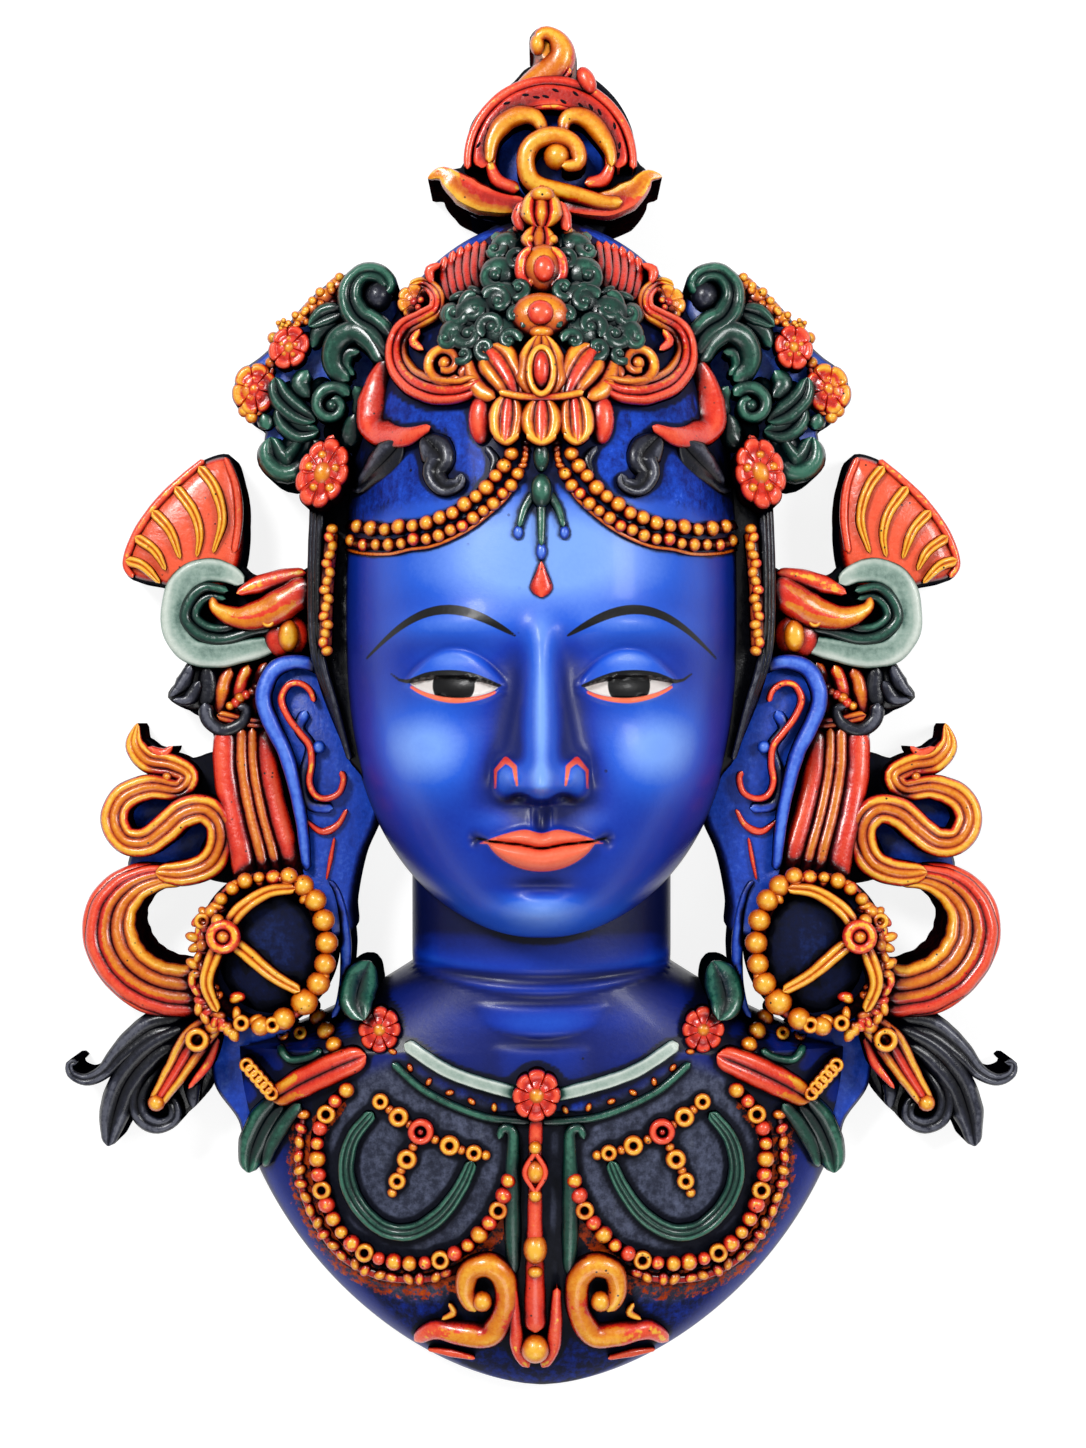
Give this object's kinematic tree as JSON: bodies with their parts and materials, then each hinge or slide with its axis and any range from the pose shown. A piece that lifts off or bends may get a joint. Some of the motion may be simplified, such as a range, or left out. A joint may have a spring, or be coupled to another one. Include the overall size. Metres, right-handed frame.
{
  "type": "deity mask",
  "caption": "Painted cast relief mask of a crowned deity's head and chest, with scrolls at the sides, hollow behind and lying on its flat back rim.",
  "frame": {"origin": "under the middle of the mask's outline, on the plane of the flat back rim that it lies on", "axes": "+Z out of the face, +Y to the top of the crown, +X to the viewer's right"},
  "size_m": [0.2116, 0.2999, 0.0725],
  "materials": {
    "painted_resin": "cast resin, hand painted in blue, red, gold, green and black with a dark antique wash"
  },
  "bodies": {
    "root": {"mask": "painted_resin"}
  },
  "joints": []
}
